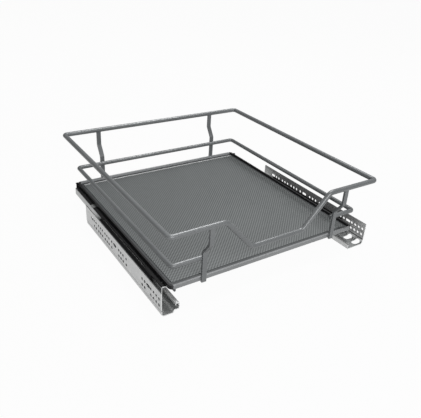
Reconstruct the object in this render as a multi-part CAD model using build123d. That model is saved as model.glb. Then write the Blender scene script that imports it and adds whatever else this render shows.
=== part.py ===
from build123d import *
import os

os.makedirs("parts", exist_ok=True)

# Pull-out wire basket on a pair of concealed cabinet runners, drawn closed. Millimetres.
# X is the width, Y the depth with the front at -Y, Z is up from the underside of the runners.
# The origin is on the floor plane, under the middle of the upper ring.

# ---- driving dimensions: what it is fitted into
OPENING_WIDTH = 464.0          # clear width between the cabinet's side walls
TRAVEL = 420.0                 # full pull-out of the basket

# ---- basket: upper ring, lower ring, posts
RING_SIDE_GAP = 5.0            # upper ring to the cabinet wall
RING_DEPTH = 477.0             # upper ring, outside
RING_TUBE = 9.5                # upper ring wire diameter
RING_HEIGHT = 148.2            # wire centre above the floor plane
RING_CORNER_R = 6.5            # bend radius of the wire centre line
DIP_CENTRE_X = -8.0            # middle of the lowered front stretch
DIP_POST_GAP = 34.0            # from a post to the upper bend of the lowered stretch
DIP_RUN = 56.0                 # sideways length of its slope
DIP_DEPTH = 62.0               # how far the front wire drops
DIP_BEND_R = 16.0
LOWER_WIRE = 8.5               # lower ring wire diameter
LOWER_HEIGHT = 76.5            # lower wire centre above the floor plane
LOWER_CORNER_R = 6.0
POST_INSET = 62.0              # post centre, inwards from the side of the tray
POST_WIDTH = 9.0               # flat bar, along X
POST_THICK = 4.0
POST_DROP = 2.0                # how far a post reaches below the tray rim
JOG_LOW = 91.0                 # heights of the two bends of a post
JOG_HIGH = 114.0
JOG_R = 7.0

# ---- tray
TRAY_SIDE_GAP = 24.0           # rim to the cabinet wall
TRAY_DEPTH = 431.0
TRAY_SHIFT = 1.0               # tray middle behind the ring middle
TRAY_TOP = 41.0                # rim top above the floor plane
RIM_HEIGHT = 7.5
RIM_THICK = 3.5
RIM_CORNER_R = 9.0
LEDGE_WIDTH = 8.0              # inner shelf of the rim that carries the base
LEDGE_THICK = 1.5
BASE_THICK = 1.5               # sheet base
MAT_THICK = 1.0                # anti-slip mat on the base
FIT_GAP = 0.3                  # side clearance of pieces laid in the tray
MAT_SIDE = 7.0                 # bare base beside the mat
MAT_BACK = 10.0                # bare base behind the mat
MAT_FRONT = 10.0               # open joint between the mat and the front rail
MAT_HEM = 1.2                  # raised rear hem of the mat
MAT_HEM_WIDTH = 3.0
MAT_HEM_FLAT = 0.2             # straight part of the hem below its rounding

# ---- runner sheet and cabinet profile
SHEET = 1.5                    # runner sheet thickness
BEND_R = 1.2                   # bend radius of the sheet centre line
JOGGLE_R = 0.8                 # small enough for the shallow step of the wall
PROFILE_FRONT = -229.5
PROFILE_LENGTH = 327.0
WALL_HEIGHT = 46.0
FOOT_JOGGLE = 0.8              # the wall steps in at its foot
JOGGLE_HEIGHT = 11.0
JOGGLE_RISE = 2.0              # height over which it does so
FOOT_R = 5.0                   # bend between the wall and the floor
FLOOR_WIDTH = 22.0             # flat floor of the channel
STEP_HEIGHT = 5.0              # raised inner floor
STEP_RUN = 2.0
PROFILE_WIDTH = 33.5
LIP_HEIGHT = 18.0              # inner lip of the channel
HOOK_WIDTH = 7.5               # top of the lip, turned outwards
HOOK_DROP = 4.0
TONGUE_REAR = -178.0           # the right-hand floor is flat and wider ahead of this depth
TONGUE_WIDTH = 43.5
TONGUE_HEIGHT = 12.5

# ---- punched holes of the cabinet profile
HOLE_PITCH = 9.5               # within a group
GROUP_PITCH = 32.0
GROUP_Y0 = 20.5                # middle of the second group from the rear
HOLE_D = 5.6
SLOT_LENGTH = 13.0
UPPER_ROW_Z = 32.0
LOWER_ROW_Z = 20.0
FOOT_NOTCH_D = 12.0            # round-ended cut-outs across the right-hand foot bend
FOOT_NOTCH_REACH = 13.0
FOOT_NOTCH_Y = -198.0
FOOT_NOTCH_PITCH = 21.5
CUT_OVER = 1.0                 # how far a cutter runs past the sheet

# ---- drawer profile, under the tray
DRAWER_OUT = 15.5              # outer face, inwards from the cabinet wall
DRAWER_WIDTH = 24.5
DRAWER_FRONT = -201.0
DRAWER_LENGTH = 406.0
OUTER_LEG = 14.5               # height of the outer leg
INNER_LEG = 12.5
COVER_THICK = 1.5              # plastic cover strips on the drawer profile
COVER_GAP = 0.3
COVER_SPLIT_REAR = 116.0       # bare stretch between the two cover strips
COVER_SPLIT_FRONT = 99.0
COVER_END = 2.0                # front end of the strip behind the drawer profile's
EDGE_BARE = 2.5                # edge of the drawer profile left bare beside the front strip
EDGE_BARE_FRONT = -138.0
EDGE_BARE_REAR = 46.0
SCREW_D = 2.2                  # screws of the cover strips
SCREW_HEAD_D = 3.0
SCREW_HEAD_T = 0.8
SCREW_IN = 22.0                # inwards from the cabinet wall
SCREW_CLEAR = 0.1
SCREW_YS = (-190.0, -64.0, 160.0)
LEFT_LUG_HEIGHT = 10.5         # rear lugs above the drawer profile
RIGHT_LUG_HEIGHT = 6.0
LUG_INSET = 2.5
LUG_FOOT = 14.0
LUG_TIP = 3.0                  # tip of the lug, turned to the rear
RIVET_D = 4.0
RIVET_HEAD_D = 7.0
RIVET_HEAD_T = 1.5
RIVET_CLEAR = 0.1
RIVET_PITCH = 140.0
RIVET_MIDDLE = -20.0           # middle rivet, from the tray middle

# ---- middle profile, roller cages, rollers
MIDDLE_FRONT = -172.0
MIDDLE_REAR = 92.0
MIDDLE_OUT = 5.0               # outer leg, inwards from the cabinet wall
WEB_LOW = 11.0                 # underside of the middle profile's web
RISER_OUT = 23.5               # inner leg, inwards from the cabinet wall
RISER_TOP = 29.0
MIDDLE_LEG_LOW = 4.0
RETAINER_REACH = 30.8
ROLL_GAP = 0.3                 # running gap of a roller to each track
CAGE_LENGTH = 110.0
CAGE_END = 5.0
LOWER_CAGE_Y = -67.0           # middles of the cages, closed
UPPER_CAGE_Y = 3.0
LOWER_CAGE_OUT = 7.2
LOWER_CAGE_WIDTH = 12.0
UPPER_CAGE_OUT = 17.6
UPPER_CAGE_WIDTH = 5.2
LOWER_CAGE_CLEAR = 1.1         # cage inside the height of its rollers, top and bottom
UPPER_CAGE_CLEAR = 2.0
LOWER_PLATE = 1.6              # side plates of the cages
UPPER_PLATE = 1.1
LOWER_PIN_D = 3.0
UPPER_PIN_D = 4.0
RUN_FIT = 0.08                 # radial clearance of a roller on its pin
SIDE_FIT = 0.3
ROLLER_EDGE = 0.3

# ---- soft-close unit, stop, front clip
DAMPER_FRONT = -168.0
DAMPER_REAR = 48.0
DAMPER_LOW = 14.0
DAMPER_TOP = 37.5
DAMPER_EAVE = 29.5             # low side of the sloped roof, on the wall
DAMPER_RIDGE = 1.7             # flat top beside the drawer profile
DAMPER_SHELL = 1.5
DAMPER_SIDE_GAP = 1.0          # to the drawer profile's outer leg
CYLINDER_D = 6.0
CYLINDER_LENGTH = 80.0
CYLINDER_END = 2.0             # closed front end of the damper body
ROD_D = 2.4
CATCH_LENGTH = 20.0
CATCH_TRAVEL = 40.0
CATCH_Y = 24.0                 # front face of the catch, closed
PIN_D = 4.0
PIN_Z = 23.5
PIN_Y = 20.0
PIN_REACH = 3.5
PIN_CLEAR = 1.0                # slot of the housing round the pin
STOP_THICK = 4.7
STOP_GAP = 0.3
STOP_INSET = 2.0
CLIP_FRONT = -200.0
CLIP_LENGTH = 40.0
CLIP_WIDTH = 19.0
CLIP_LOW = 24.0
CLIP_WALL = 4.0
LEVER_THICK = 4.0
LEVER_LOW = 27.5
LEVER_PIN_D = 3.0
LEVER_TIP_INSET = 10.0         # finger tip, inwards from the side of the tray
LEVER_HUB_R = 5.0
LEVER_ARM = 8.0                # width of the arm
LEVER_CROSS = 3.0              # depth of the cross piece
LEVER_AHEAD = 2.0              # cross piece ahead of the clip
LEVER_TOP_GAP = 0.5            # finger tip below the rim
LEVER_TIP_W = 3.0
LEVER_TIP_H = 5.5
LEVER_TIP_FRONT = -213.0

# ---- sizes that follow
HALF_OPEN = OPENING_WIDTH / 2
RING_R = RING_TUBE / 2
RING_X = HALF_OPEN - RING_SIDE_GAP - RING_R
RING_Y = RING_DEPTH / 2 - RING_R
TRAY_WIDTH = OPENING_WIDTH - 2 * TRAY_SIDE_GAP
TRAY_FRONT = TRAY_SHIFT - TRAY_DEPTH / 2
TRAY_BACK = TRAY_SHIFT + TRAY_DEPTH / 2
RIM_LOW = TRAY_TOP - RIM_HEIGHT
LEDGE_TOP = RIM_LOW + LEDGE_THICK
BASE_TOP = LEDGE_TOP + BASE_THICK
MAT_TOP = BASE_TOP + MAT_THICK
LOWER_R = LOWER_WIRE / 2
LOWER_X = TRAY_WIDTH / 2 - LOWER_R
LOWER_FRONT = TRAY_FRONT + LOWER_R
LOWER_BACK = TRAY_BACK - LOWER_R
POST_X = TRAY_WIDTH / 2 - POST_INSET
DIP_TOP_HALF = POST_X - DIP_POST_GAP
DIP_LOW_HALF = DIP_TOP_HALF - DIP_RUN
POST_LOW = RIM_LOW - POST_DROP
PROFILE_REAR = PROFILE_FRONT + PROFILE_LENGTH
DRAWER_TOP = RIM_LOW
DRAWER_UNDER = DRAWER_TOP - SHEET
DRAWER_REAR = DRAWER_FRONT + DRAWER_LENGTH
WEB_TOP = WEB_LOW + SHEET
LOWER_ROLLER_R = (WEB_LOW - SHEET) / 2 - ROLL_GAP
UPPER_ROLLER_R = (DRAWER_UNDER - WEB_TOP) / 2 - ROLL_GAP
LOWER_ROLLER_Z = (WEB_LOW + SHEET) / 2
UPPER_ROLLER_Z = (DRAWER_UNDER + WEB_TOP) / 2
DAMPER_OUT = SHEET
DAMPER_IN = DRAWER_OUT - DAMPER_SIDE_GAP
CAVITY_OUT = DAMPER_OUT + DAMPER_SHELL
CAVITY_IN = DAMPER_IN - DAMPER_SHELL
CYLINDER_FRONT = DAMPER_FRONT + DAMPER_SHELL
ROOF_SLOPE = (DAMPER_TOP - DAMPER_EAVE) / (DAMPER_IN - DAMPER_RIDGE - DAMPER_OUT)
ROOF_DROP = DAMPER_SHELL * (1 + ROOF_SLOPE ** 2) ** 0.5
CATCH_X0 = HALF_OPEN - CAVITY_OUT - SIDE_FIT
CATCH_X1 = HALF_OPEN - CAVITY_IN + SIDE_FIT
CLIP_OUT = DRAWER_OUT + DRAWER_WIDTH + SIDE_FIT
LEVER_X = HALF_OPEN - CLIP_OUT - CLIP_WIDTH / 2
LEVER_Y = CLIP_FRONT + CLIP_LENGTH / 2
LEVER_TIP_X = TRAY_WIDTH / 2 - LEVER_TIP_INSET


def box(x0, x1, y0, y1, z0, z1):
    """Box between two corners."""
    middle = ((x0 + x1) / 2, (y0 + y1) / 2, (z0 + z1) / 2)
    return Pos(*middle) * Box(abs(x1 - x0), abs(y1 - y0), abs(z1 - z0))


def right_box(u0, u1, y0, y1, z0, z1):
    """Box on the right-hand runner; u is measured inwards from the cabinet wall."""
    return box(HALF_OPEN - u0, HALF_OPEN - u1, y0, y1, z0, z1)


def rod_x(x0, x1, y, z, radius):
    """Round bar along X."""
    return Pos((x0 + x1) / 2, y, z) * Rot(0, 90, 0) * Cylinder(radius, abs(x1 - x0))


def rod_y(x, y0, y1, z, radius):
    """Round bar along Y."""
    return Pos(x, (y0 + y1) / 2, z) * Rot(90, 0, 0) * Cylinder(radius, abs(y1 - y0))


def along_y(face, y0, y1):
    """Prism of an X-Z section between two depths."""
    rear = Plane(origin=(0, y1, 0), x_dir=(1, 0, 0), z_dir=(0, -1, 0))
    return extrude(rear * face, amount=y1 - y0)


def bent_sheet(points, y0, y1):
    """Folded sheet on the right-hand runner from its section's centre line of (u, z) points."""
    line = FilletPolyline(*[(HALF_OPEN - u, z) for u, z in points], radius=BEND_R)
    return along_y(trace(line, line_width=SHEET), y0, y1)


def wire(points, radii, thickness):
    """Round wire bent along straight runs and arcs."""
    path = FilletPolyline(*points, radius=radii)
    start = Plane(origin=path @ 0, z_dir=path % 0)
    return sweep(start * Circle(thickness / 2), path=path)


def upper_ring():
    """Closed ring with a lowered stretch in front, made of a left and a right half."""
    low = RING_HEIGHT - DIP_DEPTH

    def half(side):
        top_x = DIP_CENTRE_X + side * DIP_TOP_HALF
        low_x = DIP_CENTRE_X + side * DIP_LOW_HALF
        points = [
            (DIP_CENTRE_X, RING_Y, RING_HEIGHT),
            (side * RING_X, RING_Y, RING_HEIGHT),
            (side * RING_X, -RING_Y, RING_HEIGHT),
            (top_x, -RING_Y, RING_HEIGHT),
            (low_x, -RING_Y, low),
            (DIP_CENTRE_X, -RING_Y, low),
        ]
        return wire(points, [RING_CORNER_R, RING_CORNER_R, DIP_BEND_R, DIP_BEND_R], RING_TUBE)

    return half(1) + half(-1)


def lower_ring():
    """Wire round the sides and the back, ending in a short stub behind each front post."""
    end = POST_X + POST_WIDTH / 2 - LOWER_WIRE
    points = [
        (-end, LOWER_FRONT, LOWER_HEIGHT),
        (-LOWER_X, LOWER_FRONT, LOWER_HEIGHT),
        (-LOWER_X, LOWER_BACK, LOWER_HEIGHT),
        (LOWER_X, LOWER_BACK, LOWER_HEIGHT),
        (LOWER_X, LOWER_FRONT, LOWER_HEIGHT),
        (end, LOWER_FRONT, LOWER_HEIGHT),
    ]
    return wire(points, [LOWER_CORNER_R] * 4, LOWER_WIRE)


def post(side_x, front):
    """Flat bar with a double bend, welded to the rim and saddled under the upper ring."""
    out = -1 if front else 1
    rim_face = TRAY_FRONT if front else TRAY_BACK
    low_y = rim_face + out * POST_THICK / 2
    high_y = out * RING_Y
    points = [(low_y, POST_LOW), (low_y, JOG_LOW), (high_y, JOG_HIGH), (high_y, RING_HEIGHT)]
    side_view = trace(FilletPolyline(*points, radius=JOG_R), line_width=POST_THICK)
    x = side_x * POST_X
    bar = extrude(Plane.YZ.offset(x - POST_WIDTH / 2) * side_view, amount=POST_WIDTH)
    return bar - rod_x(x - POST_WIDTH, x + POST_WIDTH, high_y, RING_HEIGHT, RING_R)


def tray_outline(inset, radius):
    """Rounded rectangle inside the tray's outer edge."""
    return RectangleRounded(TRAY_WIDTH - 2 * inset, TRAY_DEPTH - 2 * inset, radius)


def tray_plate(inset, radius, z0, z1):
    """Flat plate of the tray's outline."""
    return extrude(Pos(0, TRAY_SHIFT, z0) * tray_outline(inset, radius), amount=z1 - z0)


def rivet_places():
    """Rivets that hold the rim's ledge on the drawer profiles."""
    x = TRAY_WIDTH / 2 - RIM_THICK - LEDGE_WIDTH / 2
    middle = TRAY_SHIFT + RIVET_MIDDLE
    return [(side * x, middle + row * RIVET_PITCH) for side in (-1, 1) for row in (-1, 0, 1)]


def rivet_holes(z0, z1):
    """Clearance holes for the rivets."""
    radius = RIVET_D / 2 + RIVET_CLEAR
    return [Pos(x, y, (z0 + z1) / 2) * Cylinder(radius, z1 - z0) for x, y in rivet_places()]


def tray_rim():
    """Flat steel rim with an inner ledge all round."""
    outer_r = RIM_CORNER_R
    inner_r = RIM_CORNER_R - RIM_THICK
    rim = tray_plate(0, outer_r, RIM_LOW, TRAY_TOP)
    rim -= tray_plate(RIM_THICK, inner_r, LEDGE_TOP, TRAY_TOP)
    rim -= tray_plate(RIM_THICK + LEDGE_WIDTH, inner_r, RIM_LOW, LEDGE_TOP)
    return rim - rivet_holes(RIM_LOW, LEDGE_TOP)


def base_panel():
    """Sheet base that lies on the ledge."""
    inset = RIM_THICK + FIT_GAP
    return tray_plate(inset, RIM_CORNER_R - inset, LEDGE_TOP, BASE_TOP)


def anti_slip_mat():
    """Thin mat on the base, with a rounded hem along the rear."""
    half_x = TRAY_WIDTH / 2 - RIM_THICK - MAT_SIDE
    y0 = TRAY_FRONT + RIM_THICK + MAT_FRONT
    y1 = TRAY_BACK - RIM_THICK - MAT_BACK
    mat = box(-half_x, half_x, y0, y1, BASE_TOP, MAT_TOP)
    hem = box(-half_x, half_x, y1 - MAT_HEM_WIDTH, y1, BASE_TOP, MAT_TOP + MAT_HEM)
    crest = hem.edges().filter_by(Axis.X).group_by(Axis.Z)[-1]
    return mat + fillet(crest, MAT_HEM - MAT_HEM_FLAT)


def tray_rivets():
    """Flush rivets, heads inside the drawer profiles."""
    rivets = []
    for x, y in rivet_places():
        shank = Pos(x, y, (DRAWER_UNDER + LEDGE_TOP) / 2) * Cylinder(RIVET_D / 2, LEDGE_TOP - DRAWER_UNDER)
        head = Pos(x, y, DRAWER_UNDER - RIVET_HEAD_T / 2) * Cylinder(RIVET_HEAD_D / 2, RIVET_HEAD_T)
        rivets.append(shank + head)
    return Compound(children=rivets)


def wall_holes():
    """Groups of round holes and two slots, in two rows, on a 32 mm grid."""
    def group(number):
        return GROUP_Y0 - number * GROUP_PITCH

    rows = [
        (group(-1), (0, -1)),
        (group(0), (1, 0, -1)),
        (group(1), (1, 0, -1)),
        (group(2), (1,)),
        (group(3), (1, 0, -1)),
        (group(4), (1,)),
        (group(6), (1, 0)),
        (group(7), (1, 0, -1, -2)),
    ]
    sketch = Sketch()
    for middle, steps in rows:
        for step in steps:
            y = middle + step * HOLE_PITCH
            sketch += [Pos(y, z) * Circle(HOLE_D / 2) for z in (UPPER_ROW_Z, LOWER_ROW_Z)]
    slots = (group(-1) + 1.2 * HOLE_PITCH, group(2) - 0.45 * HOLE_PITCH, group(6) - 1.3 * HOLE_PITCH)
    sketch += [Pos(y, UPPER_ROW_Z) * SlotOverall(SLOT_LENGTH, HOLE_D) for y in slots]
    return extrude(Plane.YZ.offset(HALF_OPEN - 2 * SHEET) * sketch, amount=4 * SHEET)


def foot_notch(y):
    """Cutter for one round-ended cut-out across the foot bend."""
    radius = FOOT_NOTCH_D / 2
    x0 = HALF_OPEN - FOOT_NOTCH_REACH
    floor = box(x0, HALF_OPEN + CUT_OVER, y - radius, y + radius, -CUT_OVER, SHEET + CUT_OVER)
    floor_end = Pos(x0, y, SHEET / 2) * Cylinder(radius, SHEET + 2 * CUT_OVER)
    wall_end = rod_x(HALF_OPEN - FOOT_R - SHEET, HALF_OPEN + CUT_OVER, y, SHEET / 2, radius)
    return floor + floor_end + wall_end


def profile_part(points, radii, y0, y1):
    """Folded sheet along part of the cabinet profile."""
    line = FilletPolyline(*[(HALF_OPEN - u, z) for u, z in points], radius=radii)
    return along_y(trace(line, line_width=SHEET), y0, y1)


def wall_points():
    """Section of the wall and the outer end of the floor, as a centre line."""
    half = SHEET / 2
    return [
        (half, WALL_HEIGHT),
        (half, JOGGLE_HEIGHT + JOGGLE_RISE / 2),
        (FOOT_JOGGLE + half, JOGGLE_HEIGHT - JOGGLE_RISE / 2),
        (FOOT_JOGGLE + half, half),
    ]


def channel_points():
    """Section of the whole channel: wall, stepped floor, inner lip with a hooked top."""
    half = SHEET / 2
    inner = PROFILE_WIDTH - half
    hook = PROFILE_WIDTH - HOOK_WIDTH + half
    return wall_points() + [
        (FLOOR_WIDTH, half),
        (FLOOR_WIDTH + STEP_RUN, STEP_HEIGHT + half),
        (inner, STEP_HEIGHT + half),
        (inner, LIP_HEIGHT - half),
        (hook, LIP_HEIGHT - half),
        (hook, LIP_HEIGHT - HOOK_DROP),
    ]


def channel(y0):
    """The channel from a given depth to its rear end."""
    radii = [JOGGLE_R, JOGGLE_R, FOOT_R] + [JOGGLE_R] * 5
    return profile_part(channel_points(), radii, y0, PROFILE_REAR)


def tongue():
    """Wide flat front end of the right-hand profile, with a low upstand."""
    half = SHEET / 2
    inner = TONGUE_WIDTH - half
    points = wall_points() + [(inner, half), (inner, TONGUE_HEIGHT)]
    return profile_part(points, [JOGGLE_R, JOGGLE_R, FOOT_R, BEND_R], PROFILE_FRONT, TONGUE_REAR)


def cabinet_profile_left():
    """Fixed channel on the left cabinet wall."""
    return mirror(channel(PROFILE_FRONT) - wall_holes(), about=Plane.YZ)


def cabinet_profile_right():
    """Fixed channel on the right cabinet wall, with the wide front end and two cut-outs."""
    profile = tongue() + channel(TONGUE_REAR)
    for number in range(2):
        profile -= foot_notch(FOOT_NOTCH_Y - number * FOOT_NOTCH_PITCH)
    return profile - wall_holes()


def drawer_profile():
    """Moving inverted channel that carries the tray on its flat top."""
    half = SHEET / 2
    top = DRAWER_TOP - half
    outer = DRAWER_OUT + half
    inner = DRAWER_OUT + DRAWER_WIDTH - half
    points = [(outer, DRAWER_TOP - OUTER_LEG), (outer, top), (inner, top), (inner, DRAWER_TOP - INNER_LEG)]
    profile = bent_sheet(points, DRAWER_FRONT, DRAWER_REAR)
    return profile - rivet_holes(DRAWER_UNDER, DRAWER_TOP) - screw_bars(SCREW_CLEAR)


def screw_bars(clearance):
    """Shanks of the right-hand cover screws, or their holes with a clearance."""
    radius = SCREW_D / 2 + clearance
    length = COVER_THICK + SHEET
    z = DRAWER_TOP + COVER_THICK - length / 2
    return [Pos(HALF_OPEN - SCREW_IN, y, z) * Cylinder(radius, length) for y in SCREW_YS]


def cover_screws():
    """Small screws that hold the cover strips, both sides."""
    z = DRAWER_TOP + COVER_THICK + SCREW_HEAD_T / 2
    screws = []
    for y, shank in zip(SCREW_YS, screw_bars(0)):
        head = Pos(HALF_OPEN - SCREW_IN, y, z) * Cylinder(SCREW_HEAD_D / 2, SCREW_HEAD_T)
        screw = shank + chamfer(head.edges().group_by(Axis.Z)[-1], SCREW_HEAD_T / 3)
        screws += [screw, mirror(screw, about=Plane.YZ)]
    return Compound(children=screws)


def cover_strip(y0, y1):
    """Black strip on the drawer profile, beside the tray rim."""
    rim_gap = TRAY_SIDE_GAP - COVER_GAP
    top = DRAWER_TOP + COVER_THICK
    strip = right_box(DRAWER_OUT, rim_gap, y0, y1, DRAWER_TOP, top)
    return strip - screw_bars(SCREW_CLEAR)


def front_cover_strip():
    """The front strip leaves part of the drawer profile's outer edge bare."""
    strip = cover_strip(DRAWER_FRONT + COVER_END, COVER_SPLIT_FRONT)
    top = DRAWER_TOP + COVER_THICK
    bare_u = DRAWER_OUT + EDGE_BARE
    return strip - right_box(DRAWER_OUT, bare_u, EDGE_BARE_FRONT, EDGE_BARE_REAR, DRAWER_TOP, top)


def rear_cover_strip():
    return cover_strip(COVER_SPLIT_REAR, DRAWER_REAR - LUG_FOOT - COVER_GAP)


def rear_lug(height):
    """Angle on the rear end of the drawer profile; its tip is turned to the rear."""
    u1 = TRAY_SIDE_GAP - COVER_GAP
    u0 = DRAWER_OUT + LUG_INSET
    top = DRAWER_TOP + height
    foot = right_box(u0, u1, DRAWER_REAR - LUG_FOOT, DRAWER_REAR, DRAWER_TOP, DRAWER_TOP + SHEET)
    tab = right_box(u0, u1, DRAWER_REAR - SHEET, DRAWER_REAR, DRAWER_TOP, top)
    tip = right_box(u0, u1, DRAWER_REAR, DRAWER_REAR + LUG_TIP, top - SHEET, top)
    return foot + tab + tip


def middle_profile():
    """Z-shaped intermediate member between the two sets of rollers."""
    half = SHEET / 2
    web = WEB_LOW + half
    points = [
        (MIDDLE_OUT + half, MIDDLE_LEG_LOW),
        (MIDDLE_OUT + half, web),
        (RISER_OUT + half, web),
        (RISER_OUT + half, RISER_TOP),
    ]
    retainer = right_box(RISER_OUT + half, RETAINER_REACH, MIDDLE_FRONT, MIDDLE_REAR, WEB_LOW, WEB_TOP)
    return bent_sheet(points, MIDDLE_FRONT, MIDDLE_REAR) + retainer


def roller_places(middle_y, radius):
    """Depths of the two rollers of a cage."""
    reach = CAGE_LENGTH / 2 - CAGE_END - radius - 2 * SIDE_FIT
    return (middle_y - reach, middle_y + reach)


def roller_cage(out, width, plate, pin_d, radius, middle_y, middle_z, height):
    """Cage with a pocket and a fixed pin for each of its two rollers."""
    low = middle_z - height / 2
    y0 = middle_y - CAGE_LENGTH / 2
    cage = right_box(out, out + width, y0, y0 + CAGE_LENGTH, low, low + height)
    for y in roller_places(middle_y, radius):
        reach = radius + SIDE_FIT
        cage -= right_box(out + plate, out + width - plate, y - reach, y + reach, low, low + height)
        cage += rod_x(HALF_OPEN - out, HALF_OPEN - out - width, y, middle_z, pin_d / 2)
    return cage


def lower_cage():
    height = 2 * (LOWER_ROLLER_R - LOWER_CAGE_CLEAR)
    return roller_cage(LOWER_CAGE_OUT, LOWER_CAGE_WIDTH, LOWER_PLATE, LOWER_PIN_D,
                       LOWER_ROLLER_R, LOWER_CAGE_Y, LOWER_ROLLER_Z, height)


def upper_cage():
    height = 2 * (UPPER_ROLLER_R - UPPER_CAGE_CLEAR)
    return roller_cage(UPPER_CAGE_OUT, UPPER_CAGE_WIDTH, UPPER_PLATE, UPPER_PIN_D,
                       UPPER_ROLLER_R, UPPER_CAGE_Y, UPPER_ROLLER_Z, height)


def roller(out, width, plate, pin_d, radius, y, z):
    """Roller with a bore that runs on the cage's pin."""
    x0 = HALF_OPEN - out - plate - SIDE_FIT
    x1 = HALF_OPEN - out - width + plate + SIDE_FIT
    wheel = chamfer(rod_x(x0, x1, y, z, radius).edges(), ROLLER_EDGE)
    return wheel - rod_x(x0, x1, y, z, pin_d / 2 + RUN_FIT)


def lower_roller(number):
    y = roller_places(LOWER_CAGE_Y, LOWER_ROLLER_R)[number]
    return roller(LOWER_CAGE_OUT, LOWER_CAGE_WIDTH, LOWER_PLATE, LOWER_PIN_D,
                  LOWER_ROLLER_R, y, LOWER_ROLLER_Z)


def upper_roller(number):
    y = roller_places(UPPER_CAGE_Y, UPPER_ROLLER_R)[number]
    return roller(UPPER_CAGE_OUT, UPPER_CAGE_WIDTH, UPPER_PLATE, UPPER_PIN_D,
                  UPPER_ROLLER_R, y, UPPER_ROLLER_Z)


def roofed_section(inset):
    """Section of the soft-close unit: a box with a roof that slopes down to the wall."""
    outer = DAMPER_OUT + inset
    inner = DAMPER_IN - inset
    drop = ROOF_DROP * inset / DAMPER_SHELL
    eave = DAMPER_EAVE + ROOF_SLOPE * inset - drop
    ridge = min(DAMPER_IN - DAMPER_RIDGE, inner)
    top = DAMPER_EAVE + ROOF_SLOPE * (ridge - DAMPER_OUT) - drop
    points = [(outer, DAMPER_LOW + inset), (inner, DAMPER_LOW + inset), (inner, top)]
    if ridge < inner:
        points.append((ridge, top))
    points.append((outer, eave))
    return make_face(Polyline(*[(HALF_OPEN - u, z) for u, z in points], close=True))


def damper_housing():
    """Shell of the soft-close unit on the wall, with a side slot for the drawer's pin."""
    shell = along_y(roofed_section(0), DAMPER_FRONT, DAMPER_REAR)
    shell -= along_y(roofed_section(DAMPER_SHELL), DAMPER_FRONT + DAMPER_SHELL, DAMPER_REAR - DAMPER_SHELL)
    half = PIN_D / 2 + PIN_CLEAR
    reach = DAMPER_IN - PIN_REACH
    slot = right_box(reach, DAMPER_IN, DAMPER_FRONT, PIN_Y + PIN_D, PIN_Z - half, PIN_Z + half)
    return shell - slot


def damper_cylinder():
    """Damper body, fixed at the front of the housing."""
    z = DAMPER_LOW + DAMPER_SHELL + CYLINDER_D / 2
    x = HALF_OPEN - (CAVITY_OUT + CAVITY_IN) / 2
    y0 = CYLINDER_FRONT
    y1 = y0 + CYLINDER_LENGTH
    bore = rod_y(x, y0 + CYLINDER_END, y1, z, ROD_D / 2 + RUN_FIT)
    return rod_y(x, y0, y1, z, CYLINDER_D / 2) - bore


def soft_close_catch():
    """Sliding catch behind the drawer's pin; its low jaw lets the pin go."""
    low = DAMPER_LOW + DAMPER_SHELL + SIDE_FIT
    eave = DAMPER_EAVE + ROOF_SLOPE * DAMPER_SHELL - ROOF_DROP
    top = eave - 2 * SIDE_FIT
    jaw_top = PIN_Z - PIN_D / 2 - 2 * SIDE_FIT
    body = box(CATCH_X0, CATCH_X1, CATCH_Y, CATCH_Y + CATCH_LENGTH, low, top)
    body -= box(CATCH_X1 - CUT_OVER, CATCH_X1 + PIN_REACH - DAMPER_SHELL, CATCH_Y, CATCH_Y + CATCH_LENGTH,
                jaw_top, PIN_Z + PIN_D / 2 + 2 * SIDE_FIT)
    jaw = box(CATCH_X0, CATCH_X1, CATCH_Y - 2 * PIN_D, CATCH_Y, low, jaw_top)
    return body + jaw


def damper_rod():
    """Piston rod between the damper body and the catch."""
    z = DAMPER_LOW + DAMPER_SHELL + CYLINDER_D / 2
    x = HALF_OPEN - (CAVITY_OUT + CAVITY_IN) / 2
    y0 = CYLINDER_FRONT + CYLINDER_LENGTH - CATCH_TRAVEL / 4
    y1 = CATCH_Y - 2 * PIN_D
    return rod_y(x, y0, y1, z, ROD_D / 2)


def activator_pin():
    """Pin on the drawer profile's outer leg that the soft-close catch takes."""
    return rod_x(HALF_OPEN - DRAWER_OUT, HALF_OPEN - DRAWER_OUT + PIN_REACH, PIN_Y, PIN_Z, PIN_D / 2)


def stop_buffer():
    """Rubber block on the channel's floor behind the middle profile."""
    y0 = MIDDLE_REAR + STOP_GAP
    return right_box(MIDDLE_OUT + STOP_INSET, FLOOR_WIDTH - STOP_INSET, y0, y0 + STOP_THICK, SHEET, WEB_TOP)


def front_clip():
    """Plastic locking clip under the tray that takes the front of the drawer profile."""
    y1 = CLIP_FRONT + CLIP_LENGTH
    body = right_box(CLIP_OUT, CLIP_OUT + CLIP_WIDTH, CLIP_FRONT, y1, CLIP_LOW, LEDGE_TOP)
    slot_top = LEVER_LOW + LEVER_THICK + SIDE_FIT
    body -= box(0, HALF_OPEN, CLIP_FRONT, y1 - CLIP_WALL, LEVER_LOW - SIDE_FIT, slot_top)
    pin_z = (CLIP_LOW + LEDGE_TOP) / 2
    return body + Pos(LEVER_X, LEVER_Y, pin_z) * Cylinder(LEVER_PIN_D / 2, LEDGE_TOP - CLIP_LOW)


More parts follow.
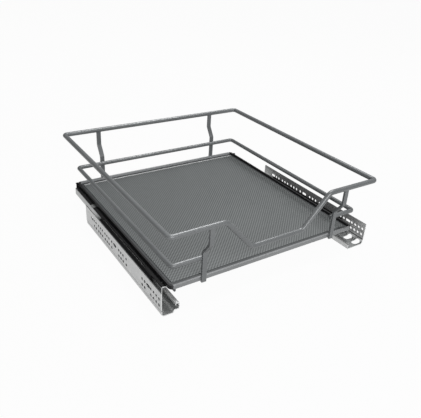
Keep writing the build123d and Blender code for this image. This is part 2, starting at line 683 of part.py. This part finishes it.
def clip_lever():
    """Release lever that turns on the clip's upright pin, with a finger tip at the front."""
    top = LEVER_LOW + LEVER_THICK
    tip_x0 = LEVER_TIP_X - LEVER_TIP_W / 2
    tip_x1 = LEVER_TIP_X + LEVER_TIP_W / 2
    tip_top = RIM_LOW - LEVER_TOP_GAP
    arm_y = CLIP_FRONT - LEVER_AHEAD
    arm_x0 = LEVER_X - LEVER_ARM / 2
    hub = Pos(LEVER_X, LEVER_Y, LEVER_LOW + LEVER_THICK / 2)
    lever = hub * Cylinder(LEVER_HUB_R, LEVER_THICK)
    lever += box(arm_x0, arm_x0 + LEVER_ARM, arm_y - LEVER_CROSS, LEVER_Y, LEVER_LOW, top)
    lever += box(arm_x0, tip_x1, arm_y - LEVER_CROSS, arm_y, LEVER_LOW, top)
    lever += box(tip_x0, tip_x1, LEVER_TIP_FRONT, arm_y, tip_top - LEVER_TIP_H, tip_top)
    return lever - hub * Cylinder(LEVER_PIN_D / 2 + RUN_FIT, LEVER_THICK)


def save(shape, node):
    export_step(shape, os.path.join("parts", node + ".step"))


def save_pair(shape, node):
    """The right-hand piece and its mirror image on the left."""
    save(shape, node + "_right")
    save(mirror(shape, about=Plane.YZ), node + "_left")


save(upper_ring(), "upper_ring")
save(lower_ring(), "lower_ring")
for side_name, side in (("left", -1), ("right", 1)):
    save(post(side, True), "front_post_" + side_name)
    save(post(side, False), "rear_post_" + side_name)
save(tray_rim(), "tray_rim")
save(base_panel(), "base_panel")
save(anti_slip_mat(), "anti_slip_mat")
save(tray_rivets(), "tray_rivets")
save(cabinet_profile_left(), "cabinet_profile_left")
save(cabinet_profile_right(), "cabinet_profile_right")
save_pair(damper_housing(), "damper_housing")
save_pair(damper_cylinder(), "damper_cylinder")
save_pair(soft_close_catch(), "soft_close_catch")
save_pair(damper_rod(), "damper_rod")
save_pair(stop_buffer(), "stop_buffer")
save_pair(middle_profile(), "middle_profile")
save_pair(lower_cage(), "lower_roller_cage")
save_pair(upper_cage(), "upper_roller_cage")
for end_number, end_name in enumerate(("front", "rear")):
    save_pair(lower_roller(end_number), "lower_roller_" + end_name)
    save_pair(upper_roller(end_number), "upper_roller_" + end_name)
save_pair(drawer_profile(), "drawer_profile")
save_pair(front_cover_strip(), "cover_strip_front")
save_pair(rear_cover_strip(), "cover_strip_rear")
save(cover_screws(), "cover_screws")
save(rear_lug(RIGHT_LUG_HEIGHT), "rear_lug_right")
save(mirror(rear_lug(LEFT_LUG_HEIGHT), about=Plane.YZ), "rear_lug_left")
save_pair(activator_pin(), "activator_pin")
save_pair(front_clip(), "front_clip")
save_pair(clip_lever(), "clip_lever")
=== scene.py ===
import bpy
import math
import random
from mathutils import Matrix, Vector


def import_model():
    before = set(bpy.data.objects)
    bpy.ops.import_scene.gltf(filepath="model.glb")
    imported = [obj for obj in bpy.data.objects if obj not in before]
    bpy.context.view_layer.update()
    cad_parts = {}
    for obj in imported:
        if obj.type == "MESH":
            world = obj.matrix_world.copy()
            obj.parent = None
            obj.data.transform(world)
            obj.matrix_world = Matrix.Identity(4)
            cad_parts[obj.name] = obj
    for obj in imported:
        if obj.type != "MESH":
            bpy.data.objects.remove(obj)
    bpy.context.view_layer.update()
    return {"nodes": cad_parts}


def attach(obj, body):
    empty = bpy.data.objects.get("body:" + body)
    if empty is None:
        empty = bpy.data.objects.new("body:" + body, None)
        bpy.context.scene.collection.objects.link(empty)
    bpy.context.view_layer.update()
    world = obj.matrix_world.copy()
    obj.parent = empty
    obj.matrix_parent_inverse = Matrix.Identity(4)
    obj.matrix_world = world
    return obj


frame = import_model()
nodes = frame["nodes"]
scene = bpy.context.scene

SIDES = (("left", -1), ("right", 1))

# ---- places on the object that materials and welds refer to, in metres
MAT_REAR_HIGHLIGHT_START = 0.1998           # y where the painted highlight along the mat's rear edge begins
RIM_BLACK_FROM = 0.2008          # |x| beyond which the tray rim is black
RIM_REAR_PAINTED_LIGHT = (0.12, 0.21)          # y over which the rear rail gets painted light, a paler colour towards the back
RAIL_ENDS = (-0.2, -0.1995)      # y: cut sheet ends in front of this get a painted highlight
WALL_CREASE_SHADE_Z = 0.0112           # z of the pressed line along the foot of the fixed rail, painted dark as shade
WALL_SKIN = (0.2302, 0.2304)     # |x| of the fixed rail's outer skin
WALL_FRONT_CUT = (-0.2293, -0.2291)
CHANNEL_BED = (0.007, 0.008)     # z of the top of the channel's flat bed
POST_X, POST_HALF = 0.146, 0.0045
RIM_FACE = {"front": -0.2145, "rear": 0.2165}
RING_Y, RING_Z, LOWER_Z = 0.23375, 0.1482, 0.0765
WELD_R = 0.0011
RIM_WELD_Z = (0.0345, 0.0402)    # upright weld between a post and the rim
RING_WELD_DROP = 0.0048          # weld under the upper ring, below its wire centre
RING_WELD_HALF = 0.0018
WIRE_WELD_HALF = 0.002

# ---- studio
FLOOR_HALF, FLOOR_DROP, FLOOR_PAPER = 9.0, 0.0006, 0.4
FLOOR_GLOW = 0.965               # how much of the floor's white the camera sees
FLOOR_MIRRORED = 0.68            # how much of it reflections see
WORLD_LIGHT = 0.16
LAMPS = (  # name, place, target, size, watts
    ("fill_front", (-0.45, -2.1, 1.4), (0, 0, 0.05), (1.8, 1.0), 41),
    ("top", (0.85, 0.6, 2.3), (0, 0.0, 0.05), (1.1, 1.1), 47),
)
CAMERA_YAW, CAMERA_PITCH, CAMERA_ROLL = 0.59926, 0.48542, -0.06177
CAMERA_PLACE = (-0.52725, -0.78235, 0.54223)
CAMERA_LENS, CAMERA_SENSOR = 43.133, 36
CAMERA_SHIFT = (-0.00079, -0.01719)


# ---------------------------------------------------------------- node helpers
class Tree:
    """Small wrapper that makes shader nodes by name."""

    def __init__(self, name):
        self.mat = bpy.data.materials.new(name)
        self.mat.use_nodes = True
        self.nt = self.mat.node_tree
        self.nt.nodes.clear()
        self.out = self.nt.nodes.new("ShaderNodeOutputMaterial")
        self.bsdf = self.nt.nodes.new("ShaderNodeBsdfPrincipled")
        self.nt.links.new(self.bsdf.outputs[0], self.out.inputs[0])
        coord = self.nt.nodes.new("ShaderNodeTexCoord")
        self.obj = coord.outputs["Object"]
        self.normal = None

    def link(self, a, b):
        self.nt.links.new(a, b)

    def add(self, kind, **values):
        node = self.nt.nodes.new(kind)
        for key, value in values.items():
            setattr(node, key, value)
        return node

    def mapping(self, scale=(1, 1, 1), rotation=(0, 0, 0)):
        node = self.add("ShaderNodeMapping")
        node.inputs["Scale"].default_value = scale
        node.inputs["Rotation"].default_value = rotation
        self.link(self.obj, node.inputs["Vector"])
        return node.outputs[0]

    def noise(self, scale, detail=3.0, rough=0.5, source=None):
        node = self.add("ShaderNodeTexNoise")
        node.inputs["Scale"].default_value = scale
        node.inputs["Detail"].default_value = detail
        node.inputs["Roughness"].default_value = rough
        self.link(source or self.obj, node.inputs["Vector"])
        return node.outputs["Fac"]

    def math(self, op, a, b=None):
        node = self.add("ShaderNodeMath", operation=op)
        for i, value in enumerate((a, b)):
            if value is None:
                continue
            if isinstance(value, (int, float)):
                node.inputs[i].default_value = value
            else:
                self.link(value, node.inputs[i])
        return node.outputs[0]

    def span(self, value, lo, hi, out_lo, out_hi):
        node = self.add("ShaderNodeMapRange", clamp=True)
        for i, number in enumerate((lo, hi, out_lo, out_hi)):
            node.inputs[i + 1].default_value = number
        self.link(value, node.inputs[0])
        return node.outputs[0]

    def ramp(self, value, stops):
        node = self.add("ShaderNodeValToRGB")
        band = node.color_ramp
        while len(band.elements) < len(stops):
            band.elements.new(0.5)
        for element, (place, colour) in zip(band.elements, stops):
            element.position = place
            element.color = (*colour, 1)
        self.link(value, node.inputs[0])
        return node.outputs[0]

    def mix(self, fac, a, b):
        node = self.add("ShaderNodeMix", data_type="RGBA")
        for number, value in ((0, fac), (6, a), (7, b)):
            socket = node.inputs[number]
            if isinstance(value, (int, float)):
                socket.default_value = value
            elif isinstance(value, tuple):
                socket.default_value = (*value, 1)
            else:
                self.link(value, socket)
        return node.outputs[2]

    def bump(self, height, strength, distance):
        node = self.add("ShaderNodeBump")
        node.inputs["Strength"].default_value = strength
        node.inputs["Distance"].default_value = distance
        self.link(height, node.inputs["Height"])
        if self.normal is not None:
            self.link(self.normal, node.inputs["Normal"])
        self.normal = node.outputs[0]
        self.link(self.normal, self.bsdf.inputs["Normal"])

    def set(self, socket, value):
        target = self.bsdf.inputs[socket]
        if isinstance(value, (int, float)):
            target.default_value = value
        elif isinstance(value, tuple):
            target.default_value = (*value, 1)
        else:
            self.link(value, target)

    def edges(self, radius):
        """Rounds the corners in the shading; gives 1 on sharp corners, 0 on flats."""
        bevel = self.add("ShaderNodeBevel", samples=6)
        bevel.inputs["Radius"].default_value = radius
        self.normal = bevel.outputs[0]
        geo = self.add("ShaderNodeNewGeometry")
        dot = self.add("ShaderNodeVectorMath", operation="DOT_PRODUCT")
        self.link(bevel.outputs[0], dot.inputs[0])
        self.link(geo.outputs["True Normal"], dot.inputs[1])
        return self.span(self.math("SUBTRACT", 1.0, dot.outputs["Value"]), 0.02, 0.2, 0.0, 1.0)

    def facing(self, axis):
        """One component of the surface normal."""
        geo = self.add("ShaderNodeNewGeometry")
        split = self.add("ShaderNodeSeparateXYZ")
        self.link(geo.outputs["True Normal"], split.inputs[0])
        return split.outputs[axis]

    def place(self, axis):
        """One component of the position on the object."""
        split = self.add("ShaderNodeSeparateXYZ")
        self.link(self.obj, split.inputs[0])
        return split.outputs[axis]


# ---------------------------------------------------------------- materials
def coated(name, dark, light, rough=0.36, sides=None, flake=0.15):
    """Powder-coated steel: fine orange peel, small shade drift, rubbed corners that also carry a
    painted highlight.

    sides is the |x| beyond which the tray rim is black; its rear rail gets painted light, paler
    towards the back.
    """
    t = Tree(name)
    edge = t.edges(0.0006)
    drift = t.noise(9, 2)
    fine = t.noise(900, 2)
    base = t.mix(t.span(drift, 0.3, 0.7, 0, 1), dark, light)
    speck = t.span(fine, 0.62, 0.75, 0.0, 0.35)
    base = t.mix(speck, base, tuple(min(1, c * 1.6) for c in light))
    # Painted highlight: corners are lightened, partly rubbed wear and partly light caught on the
    # edge.
    base = t.mix(t.math("MULTIPLY", edge, 0.45), base, tuple(min(1, c * 2.2) for c in light))
    if sides:
        # Painted light: the rear rail is made paler towards the back, standing in for light falling
        # on it.
        rear_painted_light = t.span(t.place("Y"), *RIM_REAR_PAINTED_LIGHT, 0, 0.8)
        base = t.mix(rear_painted_light, base, tuple(min(1, c * 1.7) for c in light))
        x = t.math("ABSOLUTE", t.place("X"))
        black = t.mix(t.span(fine, 0.3, 0.7, 0, 1),
                      (0.012, 0.012, 0.013), (0.022, 0.022, 0.024))
        base = t.mix(t.span(x, sides, sides + 0.0012, 0, 1), base, black)
    t.set("Base Color", base)
    t.set("Roughness", t.span(t.noise(320, 3), 0.3, 0.7, rough - 0.06, rough + 0.08))
    t.set("Metallic", flake)
    t.set("Specular IOR Level", 0.6)
    t.bump(t.noise(700, 2), 0.12, 0.0004)
    t.bump(t.noise(60, 2), 0.05, 0.001)
    return t.mat


# Colour of the painted highlight on cut sheet ends.
CUT_HIGHLIGHT = (0.85, 0.86, 0.86)


def formed_wall(t, base, dark):
    """What only the fixed rail has: painted shade along the line at its foot, on the channel's bed,
    in the holes and on the top edge.
    """
    # Painted shade: a dark line along the foot of the rail.
    line = t.math("ABSOLUTE", t.math("SUBTRACT", t.place("Z"), WALL_CREASE_SHADE_Z))
    base = t.mix(t.span(line, 0.0006, 0.0016, 0.85, 0.0), base, tuple(c * 0.2 for c in dark))
    # Painted shade: the up-facing bed of the channel is coloured dark grey.
    bed = t.math("MULTIPLY", t.span(t.facing("Z"), 0.3, 0.6, 0, 1),
                 t.span(t.place("Z"), *CHANNEL_BED, 1, 0))
    base = t.mix(t.math("MULTIPLY", bed, 0.75), base, (0.2, 0.21, 0.21))
    # Painted shade: the hole walls are coloured near-black and the top edge dark grey.
    skin = t.math("MULTIPLY", t.span(t.math("ABSOLUTE", t.facing("X")), 0.45, 0.55, 1, 0),
                  t.span(t.math("ABSOLUTE", t.place("X")), *WALL_SKIN, 0, 1))
    skin = t.math("MULTIPLY", skin, t.span(t.place("Y"), *WALL_FRONT_CUT, 0, 1))
    rolled = t.mix(t.span(t.facing("Z"), 0.5, 0.7, 0, 1),
                   (0.03, 0.03, 0.032), (0.16, 0.165, 0.165))
    return t.mix(skin, base, rolled)


def galvanised(name, dark, light, rough=0.38, wall=False, metal=1.0):
    """Zinc-plated sheet: rolled grain along Y, faint blotches, a painted highlight on the
    front-facing cut ends and faintly on corners.
    """
    t = Tree(name)
    edge = t.edges(0.0004)
    grain = t.noise(1, 6, 0.65, t.mapping((900, 18, 900)))
    blotch = t.noise(26, 4, 0.6)
    cells = t.add("ShaderNodeTexVoronoi")
    cells.inputs["Scale"].default_value = 150
    t.link(t.obj, cells.inputs["Vector"])
    spangle = t.span(cells.outputs["Distance"], 0.0, 0.9, 0, 1)
    fac = t.math("ADD", t.math("MULTIPLY", blotch, 0.6), t.math("MULTIPLY", spangle, 0.25))
    base = t.mix(t.span(fac, 0.25, 0.62, 0, 1), dark, light)
    base = t.mix(t.span(grain, 0.3, 0.7, 0.0, 0.3), base, tuple(c * 0.75 for c in dark))
    # Painted highlight: cut ends turned to the front are coloured near-white and made less
    # metallic; corners get a faint one too.
    cut = t.span(t.math("MULTIPLY", t.facing("Y"), -1.0), 0.9, 0.97, 0.0, 1.0)
    cut = t.math("MULTIPLY", cut, t.span(t.place("Y"), *RAIL_ENDS, 1.0, 0.0))
    base = t.mix(t.math("MAXIMUM", t.math("MULTIPLY", edge, 0.15), cut), base, CUT_HIGHLIGHT)
    if wall:
        base = formed_wall(t, base, dark)
    t.set("Base Color", base)
    t.set("Metallic", t.math("SUBTRACT", metal, t.math("MULTIPLY", cut, 0.6 * metal)))
    t.set("Roughness", t.span(grain, 0.3, 0.7, rough - 0.07, rough + 0.1))
    t.bump(grain, 0.06, 0.0003)
    t.bump(blotch, 0.03, 0.001)
    return t.mat


def moulded(name, dark, light, rough=0.5, spec=0.5):
    """Moulded plastic with a fine spark-eroded grain."""
    t = Tree(name)
    edge = t.edges(0.0004)
    base = t.mix(t.span(t.noise(30, 3), 0.3, 0.7, 0, 1), dark, light)
    # Painted highlight: corners are lightened, partly rubbed wear and partly light caught on the
    # edge.
    base = t.mix(t.math("MULTIPLY", edge, 0.35), base, tuple(min(1, c * 2.5 + 0.01) for c in light))
    t.set("Base Color", base)
    t.set("Roughness", t.span(t.noise(90, 3), 0.3, 0.7, rough - 0.06, rough + 0.08))
    t.set("Specular IOR Level", spec)
    t.bump(t.noise(1400, 2), 0.18, 0.0003)
    return t.mat


MAT_PITCH = 0.0044


def mat_material(name):
    """Grey grip mat: two crossing families of fine ribs at 45 degrees make small diamonds, with
    painted shade in the troughs and a painted highlight along the rear edge.
    """
    t = Tree(name)
    split = t.add("ShaderNodeSeparateXYZ")
    t.link(t.mapping((1, 1, 1), (0, 0, math.radians(45))), split.inputs[0])
    waves = []
    for axis in ("X", "Y"):
        phase = t.math("MULTIPLY", split.outputs[axis], 2 * math.pi / MAT_PITCH)
        waves.append(t.math("SINE", phase))
    height = t.span(t.math("ADD", *waves), -1.7, 1.7, 0, 1)
    cloud = t.noise(7, 3, 0.5)
    # Painted shade: the troughs between the ribs are coloured near-black, the rib tops pale grey.
    low = t.mix(t.span(cloud, 0.3, 0.7, 0, 1),
                (0.028, 0.034, 0.034), (0.037, 0.043, 0.043))
    base = t.mix(height, low, (0.215, 0.227, 0.229))
    base = t.mix(t.span(t.noise(1600, 2), 0.35, 0.7, 0.0, 0.2), base, (0.045, 0.05, 0.05))
    # Painted highlight: a pale stripe along the mat's rear edge.
    rear_highlight = t.span(t.place("Y"), MAT_REAR_HIGHLIGHT_START, MAT_REAR_HIGHLIGHT_START + 0.0006, 0, 1)
    base = t.mix(rear_highlight, base, (0.62, 0.63, 0.63))
    t.set("Base Color", base)
    t.set("Roughness", t.span(t.noise(60, 3), 0.3, 0.7, 0.42, 0.56))
    t.set("Specular IOR Level", 0.5)
    t.bump(height, 0.35, 0.0004)
    t.bump(t.noise(1800, 2), 0.1, 0.0002)
    return t.mat


def rubber(name):
    """Dull black buffer rubber."""
    t = Tree(name)
    base = t.mix(t.span(t.noise(120, 3), 0.3, 0.7, 0, 1),
                 (0.014, 0.014, 0.014), (0.03, 0.03, 0.03))
    t.set("Base Color", base)
    t.set("Roughness", t.span(t.noise(200, 3), 0.3, 0.7, 0.6, 0.8))
    t.bump(t.noise(900, 2), 0.2, 0.0003)
    return t.mat


wire_mat = coated("anthracite_wire", (0.155, 0.163, 0.167), (0.195, 0.204, 0.209), 0.33)
rim_mat = coated("anthracite_rim", (0.24, 0.248, 0.252), (0.28, 0.288, 0.294), 0.34,
                 sides=RIM_BLACK_FROM)
# Painted shade: the base panel, seen only as a strip around the mat, is a much darker copy of the
# anthracite standing for the shadow line there.
base_shade_mat = coated("anthracite_base_painted_shade", (0.045, 0.049, 0.052), (0.065, 0.069, 0.072), 0.45)
# Painted light: the fixed rail's zinc is a paler, less metallic copy standing for its lit outer
# face; the middle profile's zinc is a darker copy standing for shade inside the channel.
wall_painted_light_mat = galvanised("zinc_sheet_wall_painted_light", (0.74, 0.75, 0.75), (0.86, 0.865, 0.86), 0.36,
                      wall=True, metal=0.6)
zinc_mat = galvanised("zinc_sheet", (0.5, 0.51, 0.51), (0.62, 0.625, 0.62), 0.42)
zinc_shaded_copy = galvanised("zinc_sheet_painted_shade", (0.4, 0.41, 0.41), (0.55, 0.555, 0.55), 0.42)
steel_mat = galvanised("turned_steel", (0.5, 0.5, 0.51), (0.62, 0.62, 0.63), 0.28)
black_mat = moulded("black_moulding", (0.004, 0.004, 0.0045), (0.009, 0.009, 0.0095), 0.55,
                    spec=0.25)
screw_mat = galvanised("blackened_screw", (0.07, 0.07, 0.072), (0.11, 0.11, 0.112), 0.4)
cage_mat = moulded("cage_moulding", (0.03, 0.03, 0.032), (0.05, 0.05, 0.053), 0.48)
roller_mat = moulded("roller_moulding", (0.55, 0.55, 0.5), (0.68, 0.68, 0.63), 0.32)
clip_mat = moulded("clip_moulding", (0.07, 0.073, 0.078), (0.1, 0.104, 0.11), 0.45)
rubber_mat = rubber("buffer_rubber")
grip_mat = mat_material("grip_mat")

MATERIAL_OF = {
    "upper_ring": wire_mat, "lower_ring": wire_mat,
    "front_post": wire_mat, "rear_post": wire_mat,
    "tray_rim": rim_mat, "base_panel": base_shade_mat, "anti_slip_mat": grip_mat,
    "tray_rivets": steel_mat, "cabinet_profile": wall_painted_light_mat, "middle_profile": zinc_shaded_copy,
    "drawer_profile": zinc_mat, "rear_lug": black_mat, "cover_screws": screw_mat,
    "activator_pin": steel_mat,
    "damper_housing": black_mat, "damper_cylinder": steel_mat, "damper_rod": steel_mat,
    "soft_close_catch": clip_mat, "cover_strip": black_mat, "stop_buffer": rubber_mat,
    "lower_roller_cage": cage_mat, "upper_roller_cage": cage_mat,
    "lower_roller_front": roller_mat, "lower_roller_rear": roller_mat,
    "upper_roller_front": roller_mat, "upper_roller_rear": roller_mat,
    "front_clip": clip_mat, "clip_lever": clip_mat,
}


def dress(node, material):
    """Gives a CAD node its material; the node's mesh stays as it is."""
    obj = nodes[node]
    for i in range(len(obj.material_slots)):
        obj.material_slots[i].material = material
    if not obj.material_slots:
        obj.data.materials.append(material)


for node in nodes:
    prefixes = [p for p in MATERIAL_OF if node.startswith(p)]
    dress(node, MATERIAL_OF[max(prefixes, key=len)])


# ---------------------------------------------------------------- weld beads
def bead(name, start, end, radius, seed):
    """Lumpy weld run between two points, laid by a row of small overlapping ripples."""
    a, b = Vector(start), Vector(end)
    axis = (b - a).normalized()
    side = axis.orthogonal().normalized()
    other = axis.cross(side)
    rings, around = 18, 12
    rnd = random.Random(seed)
    verts, faces = [], []
    for i in range(rings + 1):
        s = i / rings
        swell = math.sqrt(max(0.0, 1 - (2 * s - 1) ** 6))
        swell *= 1 + 0.1 * math.cos(s * 9 * math.pi)
        wobble = 0.06 * (rnd.random() - 0.5)
        for k in range(around):
            angle = 2 * math.pi * k / around
            reach = radius * max(0.05, swell) * (1 + wobble + 0.04 * (rnd.random() - 0.5))
            spoke = math.cos(angle) * side + math.sin(angle) * other
            verts.append(a + (b - a) * s + reach * spoke)
    for i in range(rings):
        for k in range(around):
            n = (k + 1) % around
            low, high = i * around, (i + 1) * around
            faces.append((low + k, low + n, high + n, high + k))
    faces.append(tuple(range(around - 1, -1, -1)))
    faces.append(tuple(rings * around + k for k in range(around)))
    mesh = bpy.data.meshes.new(name)
    mesh.from_pydata(verts, [], faces)
    for face in mesh.polygons:
        face.use_smooth = True
    obj = bpy.data.objects.new(name, mesh)
    scene.collection.objects.link(obj)
    mesh.materials.append(wire_mat)
    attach(obj, "basket")


def post_welds():
    """Beads on both sides of each post: at the rim, under the upper ring, on the lower one."""
    for side, sx in SIDES:
        for end, out in (("front", -1), ("rear", 1)):
            for edge in (-1, 1):
                x = sx * POST_X + edge * POST_HALF
                tag = "%s_%s_%s" % (end, side, "outer" if edge == sx else "inner")
                y = RIM_FACE[end] + out * 0.0004
                bead("weld_rim_" + tag, (x, y, RIM_WELD_Z[0]), (x, y, RIM_WELD_Z[1]),
                     WELD_R, 3 + edge + sx)
                y, z = out * RING_Y, RING_Z - RING_WELD_DROP
                bead("weld_ring_" + tag, (x, y - RING_WELD_HALF, z), (x, y + RING_WELD_HALF, z),
                     WELD_R, 9 + edge + sx)
                y, z = RIM_FACE[end] - out * 0.0002, LOWER_Z
                bead("weld_wire_" + tag, (x, y, z - WIRE_WELD_HALF), (x, y, z + WIRE_WELD_HALF),
                     WELD_R, 17 + edge + sx)


post_welds()


# ---------------------------------------------------------------- floor, light, camera
def floor():
    """Pale paper that keeps the shadow; camera and reflections mostly see it white."""
    mesh = bpy.data.meshes.new("floor")
    s = FLOOR_HALF
    mesh.from_pydata([(-s, -s, 0), (s, -s, 0), (s, s, 0), (-s, s, 0)], [], [(0, 1, 2, 3)])
    obj = bpy.data.objects.new("floor", mesh)
    scene.collection.objects.link(obj)
    obj.location.z = -FLOOR_DROP
    m = bpy.data.materials.new("floor_paper")
    m.use_nodes = True
    nt = m.node_tree
    nt.nodes.clear()
    out = nt.nodes.new("ShaderNodeOutputMaterial")
    diffuse = nt.nodes.new("ShaderNodeBsdfDiffuse")
    diffuse.inputs[0].default_value = (FLOOR_PAPER, FLOOR_PAPER, FLOOR_PAPER, 1)
    glow = nt.nodes.new("ShaderNodeEmission")
    glow.inputs[0].default_value = (1, 1, 1, 1)
    glow.inputs[1].default_value = 1.0
    path = nt.nodes.new("ShaderNodeLightPath")
    shares = []
    for ray, share in (("Is Camera Ray", FLOOR_GLOW), ("Is Glossy Ray", FLOOR_MIRRORED)):
        scale = nt.nodes.new("ShaderNodeMath")
        scale.operation = "MULTIPLY"
        scale.inputs[1].default_value = share
        nt.links.new(path.outputs[ray], scale.inputs[0])
        shares.append(scale.outputs[0])
    most = nt.nodes.new("ShaderNodeMath")
    most.operation = "MAXIMUM"
    nt.links.new(shares[0], most.inputs[0])
    nt.links.new(shares[1], most.inputs[1])
    blend = nt.nodes.new("ShaderNodeMixShader")
    nt.links.new(most.outputs[0], blend.inputs[0])
    nt.links.new(diffuse.outputs[0], blend.inputs[1])
    nt.links.new(glow.outputs[0], blend.inputs[2])
    nt.links.new(blend.outputs[0], out.inputs[0])
    mesh.materials.append(m)


def world():
    """Soft even light; the camera sees it white."""
    w = bpy.data.worlds.new("studio")
    scene.world = w
    w.use_nodes = True
    nt = w.node_tree
    nt.nodes.clear()
    out = nt.nodes.new("ShaderNodeOutputWorld")
    shade = nt.nodes.new("ShaderNodeBackground")
    shade.inputs[0].default_value = (1, 1, 1, 1)
    path = nt.nodes.new("ShaderNodeLightPath")
    pick = nt.nodes.new("ShaderNodeMapRange")
    pick.inputs[3].default_value = WORLD_LIGHT
    pick.inputs[4].default_value = 1.0
    nt.links.new(path.outputs["Is Camera Ray"], pick.inputs[0])
    nt.links.new(pick.outputs[0], shade.inputs[1])
    nt.links.new(shade.outputs[0], out.inputs[0])


def lamp(name, place, target, size, watts):
    light = bpy.data.lights.new(name, "AREA")
    light.shape = "RECTANGLE"
    light.size, light.size_y = size
    light.energy = watts
    obj = bpy.data.objects.new(name, light)
    scene.collection.objects.link(obj)
    obj.location = place
    obj.rotation_mode = "QUATERNION"
    obj.rotation_quaternion = (Vector(target) - Vector(place)).to_track_quat("-Z", "Y")


def camera():
    """The photograph's viewpoint, worked out from the tray, ring and runner corners."""
    yaw, pitch, roll = CAMERA_YAW, CAMERA_PITCH, CAMERA_ROLL
    forward = Vector((math.sin(yaw) * math.cos(pitch), math.cos(yaw) * math.cos(pitch),
                      -math.sin(pitch)))
    right = Vector((math.cos(yaw), -math.sin(yaw), 0))
    down = forward.cross(right)
    c, s = math.cos(roll), math.sin(roll)
    cam_right = c * right + s * down
    cam_down = -s * right + c * down
    data = bpy.data.cameras.new("camera")
    data.sensor_width = CAMERA_SENSOR
    data.sensor_fit = "HORIZONTAL"
    data.lens = CAMERA_LENS
    data.shift_x, data.shift_y = CAMERA_SHIFT
    data.clip_start, data.clip_end = 0.01, 50
    obj = bpy.data.objects.new("camera", data)
    scene.collection.objects.link(obj)
    turn = Matrix((cam_right, -cam_down, -forward)).transposed()
    obj.matrix_world = Matrix.Translation(CAMERA_PLACE) @ turn.to_4x4()
    scene.camera = obj


floor()
world()
for settings in LAMPS:
    lamp(*settings)
camera()

scene.view_settings.view_transform = "Standard"
